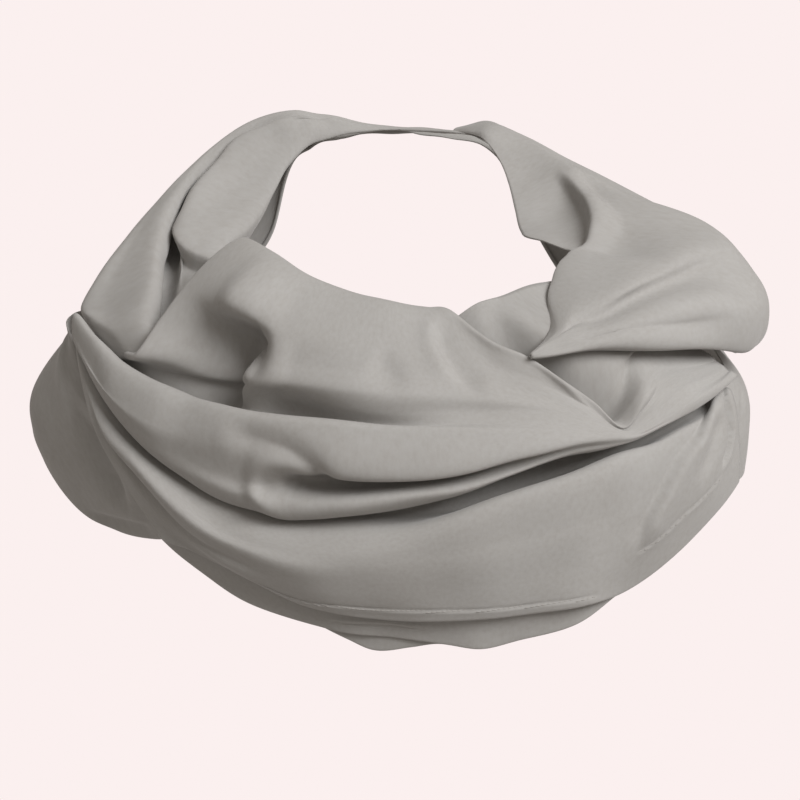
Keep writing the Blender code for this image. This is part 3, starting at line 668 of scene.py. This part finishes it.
def stitchPiece(name, stitches, sheet, material):
    # a row of small stitches, each one lying along its path on the sheet
    points, normal, flat, size = sheetPoints(sheet)
    half = stitches["width"] / 2
    shape = Matrix.Diagonal((stitches["length"] / 2, half, half, 1 / mm)) * mm
    bm = bmesh.new()
    for path in stitches["paths"]:
        curve = pathPoints(path, size)
        steps = np.concatenate([[0.0], np.cumsum(np.linalg.norm(np.diff(curve, axis=0), axis=1))])
        spots = np.arange(0, steps[-1], stitches["pitch"])
        for x, y in np.stack([np.interp(spots, steps, curve[:, k]) for k in (0, 1)], axis=1):
            i = min(int(round(x / size[0] * sheet["along"])), sheet["along"] - 1)
            j = int(round(y / size[1] * sheet["across"]))
            way = unit(points[i + 1, j] - points[i, j])
            out = unit(normal[i, j])
            turn = Matrix([way, np.cross(out, way), out]).transposed().to_4x4()
            spot = Matrix.Translation((points[i, j] + out * stitches["above"]) * mm)
            bmesh.ops.create_icosphere(bm, subdivisions=2, radius=1.0, matrix=spot @ turn @ shape)
    mesh = bpy.data.meshes.new(name)
    bm.to_mesh(mesh)
    bm.free()
    mesh.shade_smooth()
    piece = linkedObject(name, mesh)
    piece.data.materials.append(material)
    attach(piece, "root")
    print(name, "stitched along", len(stitches["paths"]), "lines")


threadLook = {"colour": (0.36, 0.345, 0.325), "roughness": 0.7}
thread = bpy.data.materials.new("cottonThread")
thread.use_nodes = True
threadShader = thread.node_tree.nodes["Principled BSDF"]
threadShader.inputs["Base Color"].default_value = (*threadLook["colour"], 1)
threadShader.inputs["Roughness"].default_value = threadLook["roughness"]
stitchPiece("hemStitches", hemStitches, frontPanel, thread)

# the edge of cloth that shows below the panel's hem
hemLayer = {
    "flat": (0.042, 0.22),
    "lines": {
        "hidden top": ((-46, 147, -124), (-30, 142, -134), (-10, 136, -144), (10, 137, -144),
                       (28, 144, -142), (40, 150, -138)),
        "middle": ((-46, 147, -134), (-30, 140, -152), (-10, 135, -162), (10, 136, -163), (28, 145, -159),
                   (40, 150, -152)),
        "edge": ((-46, 145, -142), (-37, 141, -155), (-29, 138, -164), (-20, 135, -170),
                 (-12, 133.5, -174), (1, 133, -177), (10, 135, -180), (16, 138, -182), (23, 141, -179),
                 (33, 148, -173), (40, 152, -163)),
    },
    "along": 200, "across": 44, "outward": 1, "thick": 0.7,
    "waves": ((48, 10, 0.3), (27, -15, 0.15)),
    "turned": (("outer", 0.6, 8),),
    "stands": ("hem_layer",), "rests": ["frontPanel"],
    "creases": (
        {"path": ((0.38, 0.86), (0.50, 0.80), (0.62, 0.84)),
         "left": (1.0, 2), "right": (-0.8, 3), "fade": (12, 12)},
    ),
}
clothPiece("hemLayer", hemLayer, cloth)

# the lowest edge, a short piece of the layer under that one
underHem = {
    "flat": (0.021, 0.066),
    "lines": {
        "hidden top": ((-15, 131.6, -166), (0, 130.7, -168), (15, 134, -170)),
        "edge": ((-14, 131, -174), (-9, 131, -179), (-5, 131, -183), (3, 131, -182), (8, 132, -180.5),
                 (13, 133, -182)),
    },
    "along": 80, "across": 20, "outward": 1, "thick": 0.7,
    "waves": ((30, 10, 0.15),),
    "turned": (("outer", 0.6, 6),),
    "stands": ("under_hem",), "rests": ["hemLayer"],
    "creases": (),
}
clothPiece("underHem", underHem, cloth)

# the lower turn from the left front round the back to the right front
lowerTurn = {
    "flat": (0.065, 0.62),
    "lines": {
        "top": ((-71, 150, -74), (-75, 154.5, -63.5), (-79, 150.5, -61), (-85, 136, -62), (-95, 122, -50),
                (-110, 107, -34), (-125, 93, -18), (-141, 81, -4), (-150, 77, -1), (-160, 74.8, 0.4),
                (-180, 74, 3.2), (-200, 77, -1), (-212, 81, -4), (-219, 84.5, -11.5), (-226, 90, -24),
                (-235, 97, -32), (-250, 116, -50), (-265, 137, -73), (-280, 153, -83.5),
                (-286, 155, -84.5), (-292, 153.5, -88)),
        "shoulder": ((-64, 149.5, -87), (-75, 157.5, -77), (-84, 152, -75), (-95, 140, -64),
                     (-110, 124, -48), (-125, 102, -28), (-141, 85, -6), (-150, 79.5, 0.2),
                     (-160, 78, 1.6), (-180, 77.3, 2.8), (-200, 79, 0.2), (-212, 82.8, -3.2),
                     (-219, 87, -12), (-226, 93, -26), (-235, 100, -42), (-250, 126, -64),
                     (-265, 149.5, -87), (-276, 160, -92), (-285, 163, -92.5), (-293, 158.5, -97)),
        "crown": ((-54, 147, -107), (-70, 162, -98), (-82, 170, -100), (-95, 157, -86), (-110, 138, -68),
                  (-125, 110, -42), (-133, 98, -27), (-141, 87.3, -9.5), (-150, 82.3, -2),
                  (-160, 80.7, 0.8), (-180, 79.6, 2.3), (-200, 81.4, -0.2), (-212, 84.8, -3.4),
                  (-219, 89, -13), (-226, 95.5, -31), (-235, 106, -54), (-250, 136, -80),
                  (-265, 159, -96), (-276, 166, -104), (-286, 166.5, -105), (-294, 160, -110)),
        "low": ((-47, 142, -127), (-65, 158, -126), (-80, 171, -117), (-95, 162, -112), (-110, 142, -92),
                (-125, 112, -58), (-133, 100, -44), (-138, 92, -30), (-142, 87.5, -14), (-150, 83.5, -5),
                (-160, 82, 0.4), (-180, 81.4, 1.6), (-200, 83.4, 0.6), (-212, 86.2, -3), (-219, 90, -16),
                (-226, 96.5, -38), (-235, 110, -66), (-250, 140, -96), (-265, 160, -112),
                (-276, 165, -118), (-287, 167, -122), (-294, 160.5, -121)),
        "hem": ((-44, 137, -143), (-52, 139, -149), (-60, 146, -151), (-67, 155, -147), (-72, 161, -139),
                (-76, 166, -130), (-81, 168, -125), (-95, 156, -130), (-110, 136, -110), (-125, 108, -72),
                (-133, 96, -60), (-137.5, 89, -44), (-141, 86, -21), (-150, 82, -5), (-160, 82, -1.5),
                (-180, 82, 1), (-200, 84, -0.5), (-212, 86.5, -4), (-219, 89.5, -19.5), (-226, 96, -46),
                (-235, 108, -76), (-250, 135, -110), (-265, 155, -128), (-289, 165, -133),
                (-294, 162, -130)),
    },
    "along": 420, "across": 90, "outward": -1, "thick": 0.7,
    "waves": ((71, 12, 0.5), (43, -18, 0.3), (26, 75, 0.1)),
    "turned": (("outer", 0.4, 2),),
    "stands": ("left_lobe", "back_drape", "right_flap"), "rests": ["upperTurn", "frontPanel"],
    "creases": (
        # the soft hollow beside the panel and the fold under it
        {"path": ((0.018, 0.40), (0.024, 0.55), (0.032, 0.70), (0.035, 0.80), (0.036, 0.90)),
         "left": (-6, 4), "right": (-6, 11), "fade": (14, 8)},
        {"path": ((0.02, 0.93), (0.05, 0.93), (0.08, 0.96)),
         "left": (-1.5, 3), "right": (1.2, 4), "fade": (6, 10)},
        {"path": ((0.045, 0.05), (0.05, 0.25), (0.06, 0.45), (0.075, 0.65)),
         "left": (1.4, 5), "right": (1.4, 6), "fade": (8, 20)},
        # the drape of the sides and the back
        {"path": ((0.13, 0.10), (0.15, 0.40), (0.16, 0.75)),
         "left": (-3, 9), "right": (-3, 10), "fade": (10, 14)},
        {"path": ((0.19, 0.15), (0.21, 0.45), (0.215, 0.85)),
         "left": (2.5, 8), "right": (2.5, 10), "fade": (12, 12)},
        {"path": ((0.26, 0.10), (0.27, 0.45), (0.275, 0.80)),
         "left": (-2.5, 8), "right": (-2.5, 8), "fade": (12, 16)},
        {"path": ((0.80, 0.10), (0.79, 0.45), (0.785, 0.85)),
         "left": (-2.8, 9), "right": (-2.8, 9), "fade": (12, 14)},
        {"path": ((0.86, 0.15), (0.86, 0.50), (0.855, 0.85)),
         "left": (2.2, 8), "right": (2.2, 10), "fade": (12, 12)},
        {"path": ((0.96, 0.20), (0.972, 0.45), (0.974, 0.70)),
         "left": (-1.2, 2.5), "right": (-1.2, 3), "fade": (8, 10)},
    ),
}
clothPiece("lowerTurn", lowerTurn, cloth)

# the camera at the photograph's angle, a pale floor, an even sky and one soft lamp
studio = {
    "target": (0.002, 0.0, -0.112), "distance": 1.2, "elevation": 18.0, "lens": 113.4,
    "floorHeight": -0.45, "floorSize": 12.0, "floorColour": (0.964, 0.871, 0.863),
    "skyColour": (1.0, 0.93, 0.85), "skyStrength": 0.33,
    "keyPlace": (1.4, -1.25, 1.6), "keySize": 1.4, "keyPower": 62.0,
}


def makeLight(name, place, size, power, target):
    light = linkedObject(name, bpy.data.lights.new(name, "AREA"))
    light.data.size = size
    light.data.energy = power
    light.location = Vector(place)
    light.rotation_euler = (target - light.location).to_track_quat("-Z", "Y").to_euler()


def makeStudio(look):
    scene = bpy.context.scene
    target = Vector(look["target"])
    rise = math.radians(look["elevation"])
    back = Vector((0.0, -math.cos(rise), math.sin(rise)))
    camera = linkedObject("camera", bpy.data.cameras.new("camera"))
    camera.data.lens = look["lens"]
    camera.location = target + back * look["distance"]
    camera.rotation_euler = (-back).to_track_quat("-Z", "Y").to_euler()
    scene.camera = camera
    bm = bmesh.new()
    bmesh.ops.create_grid(bm, x_segments=1, y_segments=1, size=look["floorSize"])
    mesh = bpy.data.meshes.new("floor")
    bm.to_mesh(mesh)
    bm.free()
    floor = linkedObject("floor", mesh)
    floor.location.z = look["floorHeight"]
    floor.visible_diffuse = False    # its glow is for the camera alone
    floor.visible_shadow = False
    material = bpy.data.materials.new("floor")
    material.use_nodes = True
    shader = material.node_tree.nodes["Principled BSDF"]
    shader.inputs["Base Color"].default_value = (0, 0, 0, 1)
    shader.inputs["Roughness"].default_value = 1.0
    shader.inputs["Specular IOR Level"].default_value = 0.0
    shader.inputs["Emission Color"].default_value = (*look["floorColour"], 1)
    shader.inputs["Emission Strength"].default_value = 1.0
    mesh.materials.append(material)
    world = bpy.data.worlds.new("studio")
    scene.world = world
    world.use_nodes = True
    world.node_tree.nodes["Background"].inputs[0].default_value = (*look["skyColour"], 1)
    world.node_tree.nodes["Background"].inputs[1].default_value = look["skyStrength"]
    makeLight("key", look["keyPlace"], look["keySize"], look["keyPower"], target)
    scene.view_settings.view_transform = "Standard"
    print("studio ready")


makeStudio(studio)
